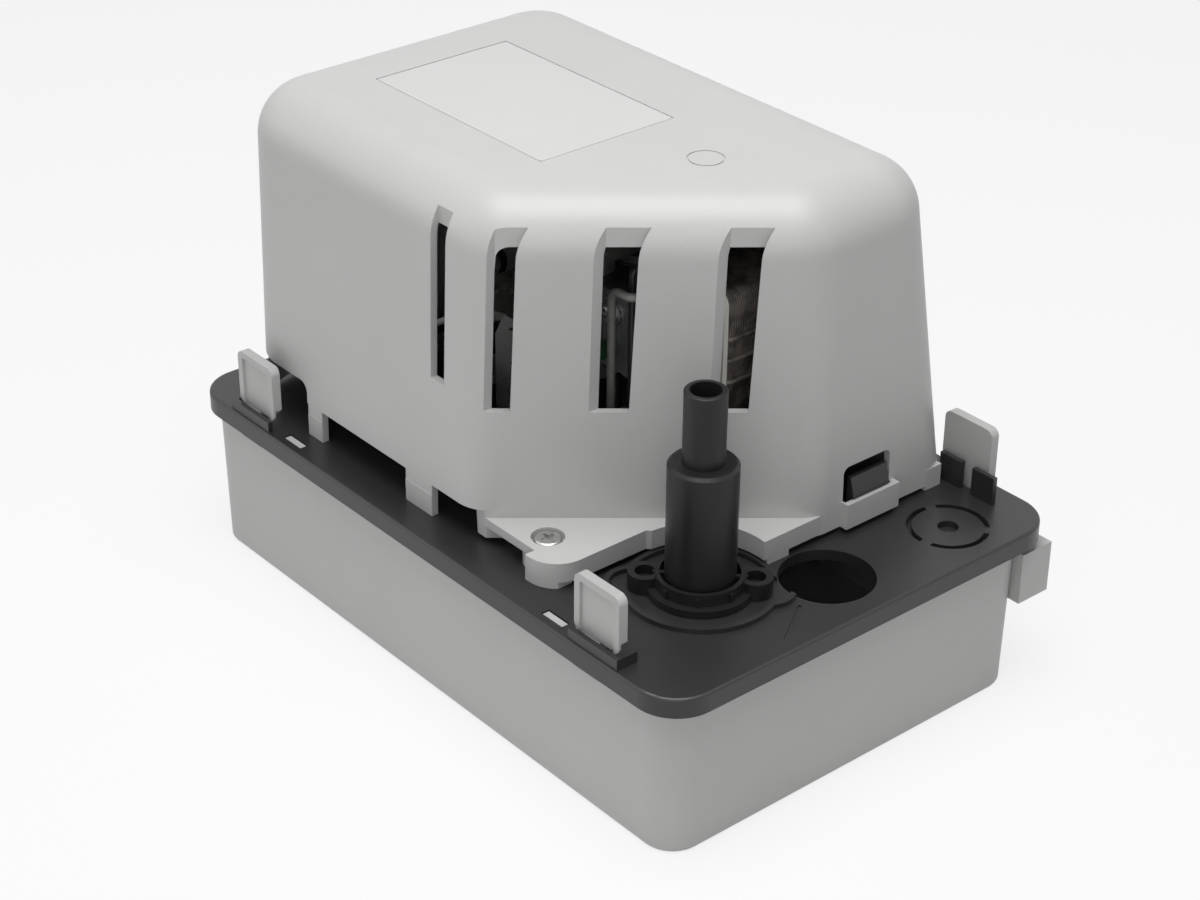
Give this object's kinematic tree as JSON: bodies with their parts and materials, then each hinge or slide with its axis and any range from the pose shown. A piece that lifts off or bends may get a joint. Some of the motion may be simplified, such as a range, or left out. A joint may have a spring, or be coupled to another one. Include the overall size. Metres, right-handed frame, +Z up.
{
  "type": "condensate pump",
  "caption": "Tank-type condensate pump: shallow tank and dark lid, slotted motor cover with one slanted corner, bayonet discharge valve with hose tube, float switch, motor and impeller.",
  "frame": {"origin": "on the tank's flat bottom, under the centre of the lid's outline", "axes": "+Z up, +X along the lid to the end with the drain inlet, +Y to the wall behind the lugs"},
  "size_m": [0.205, 0.1357, 0.1429],
  "materials": {
    "tank_plastic": "moulded ABS, fine matt",
    "lid_plastic": "moulded ABS, dark, fine matt",
    "cover_plastic": "moulded ABS, fine spark-eroded grain",
    "label_film": "bare film label",
    "outlet_plastic": "dark glass-filled nylon",
    "zinc_steel": "zinc plated steel",
    "shaft_steel": "ground stainless steel",
    "lamination_steel": "stacked electrical steel sheets",
    "die_cast": "zinc-aluminium die casting",
    "bronze": "oil-filled sintered bronze",
    "copper": "drawn copper",
    "winding_tape": "enamelled wire under polyester tape",
    "white_nylon": "natural nylon or acetal",
    "switch_plastic": "black phenolic",
    "red_plastic": "switch button",
    "black_rubber": "black rubber",
    "float_foam": "closed-cell float, moulded skin",
    "lead_green": "green insulated earth wire with its receptacle",
    "lead_white": "white insulated neutral wire with its receptacle",
    "lead_black": "black insulated live wire with its receptacles"
  },
  "bodies": {
    "base": {"tank": "tank_plastic", "lid": "lid_plastic", "cover": "cover_plastic", "blank_label": "label_film", "cover_screw": "zinc_steel", "cord_bush": "black_rubber", "pump_housing": "lid_plastic", "suction_plate": "lid_plastic", "suction_plate_screws": "zinc_steel", "column_fixings": "zinc_steel", "shaft_seal": "black_rubber", "stator_stack": "lamination_steel", "shading_rings": "copper", "coil_bobbin": "white_nylon", "coil_winding": "winding_tape", "coil_terminals": "zinc_steel", "upper_bridge": "die_cast", "lower_bridge": "die_cast", "upper_bearing": "bronze", "lower_bearing": "bronze", "motor_screws": "zinc_steel", "motor_grommets": "black_rubber", "earth_tag": "zinc_steel", "earth_screw": "zinc_steel", "stem_bush": "white_nylon", "switch_bracket": "zinc_steel", "bracket_screws": "zinc_steel", "switch_pins": "zinc_steel", "run_switch": "switch_plastic", "alarm_switch": "switch_plastic", "lever_pin": "zinc_steel", "terminal_block": "white_nylon", "terminal_screws": "zinc_steel", "earth_lead": "lead_green", "neutral_lead": "lead_white", "supply_lead": "lead_black", "switched_lead": "lead_black"},
    "clip_front_left": {"clip_front_left": "tank_plastic"},
    "clip_front_right": {"clip_front_right": "tank_plastic"},
    "clip_rear_left": {"clip_rear_left": "tank_plastic"},
    "clip_rear_right": {"clip_rear_right": "tank_plastic"},
    "rotating_group": {"rotor": "lamination_steel", "shaft": "shaft_steel", "impeller": "white_nylon", "slinger": "white_nylon", "fan": "white_nylon"},
    "float": {"float_body": "float_foam", "float_stem": "white_nylon"},
    "lever": {"switch_lever": "white_nylon"},
    "run_plunger": {"run_plunger": "red_plastic"},
    "alarm_plunger": {"alarm_plunger": "red_plastic"},
    "check_valve": {"valve_body": "outlet_plastic", "outlet_tube": "outlet_plastic", "valve_orings": "black_rubber", "valve_spring": "shaft_steel"},
    "poppet": {"valve_poppet": "white_nylon"}
  },
  "joints": [
    {"name": "clip_front_left_press", "type": "hinge", "parent": "base", "child": "clip_front_left", "pos_m": [-0.0775, -0.063, 0.04], "axis": [-1, 0, 0], "range_deg": [0, 5], "stiffness_Nm_per_rad": 0.2},
    {"name": "clip_front_right_press", "type": "hinge", "parent": "base", "child": "clip_front_right", "pos_m": [0.0682, -0.063, 0.04], "axis": [-1, 0, 0], "range_deg": [0, 5], "stiffness_Nm_per_rad": 0.2},
    {"name": "clip_rear_right_press", "type": "hinge", "parent": "base", "child": "clip_rear_right", "pos_m": [0.0775, 0.063, 0.04], "axis": [1, 0, 0], "range_deg": [0, 5], "stiffness_Nm_per_rad": 0.2},
    {"name": "clip_rear_left_press", "type": "hinge", "parent": "base", "child": "clip_rear_left", "pos_m": [-0.0682, 0.063, 0.04], "axis": [1, 0, 0], "range_deg": [0, 5], "stiffness_Nm_per_rad": 0.2},
    {"name": "pump_spin", "type": "hinge", "parent": "base", "child": "rotating_group", "pos_m": [0.006, 0.008, 0.1], "axis": [0, 0, 1], "continuous": true},
    {"name": "float_rise", "type": "slide", "parent": "base", "child": "float", "axis": [0, 0, 1], "range_m": [0, 0.012]},
    {"name": "lever_tilt", "type": "hinge", "parent": "base", "child": "lever", "pos_m": [-0.025, 0, 0.078], "axis": [0, 1, 0], "range_deg": [0, 23.07]},
    {"name": "run_plunger_press", "type": "slide", "parent": "base", "child": "run_plunger", "axis": [0, 0, -1], "range_m": [0, 0.0016]},
    {"name": "alarm_plunger_press", "type": "slide", "parent": "base", "child": "alarm_plunger", "axis": [0, 0, -1], "range_m": [0, 0.0016]},
    {"name": "valve_twist", "type": "hinge", "parent": "base", "child": "check_valve", "pos_m": [0.068, -0.0276, 0.0486], "axis": [0, 0, 1], "range_deg": [0, 40]},
    {"name": "poppet_lift", "type": "slide", "parent": "check_valve", "child": "poppet", "axis": [0, 0, 1], "range_m": [0, 0.003], "stiffness_N_per_m": 20, "springref_m": -0.002, "deforming": ["valve_spring"]}
  ],
  "couplings": [
    {"joint": "lever_tilt", "follows": "float_rise", "rad_per_m": 33.553},
    {"joint": "run_plunger_press", "follows": "float_rise", "ratio": 0.1333},
    {"joint": "alarm_plunger_press", "follows": "float_rise", "ratio": 0.1333}
  ]
}
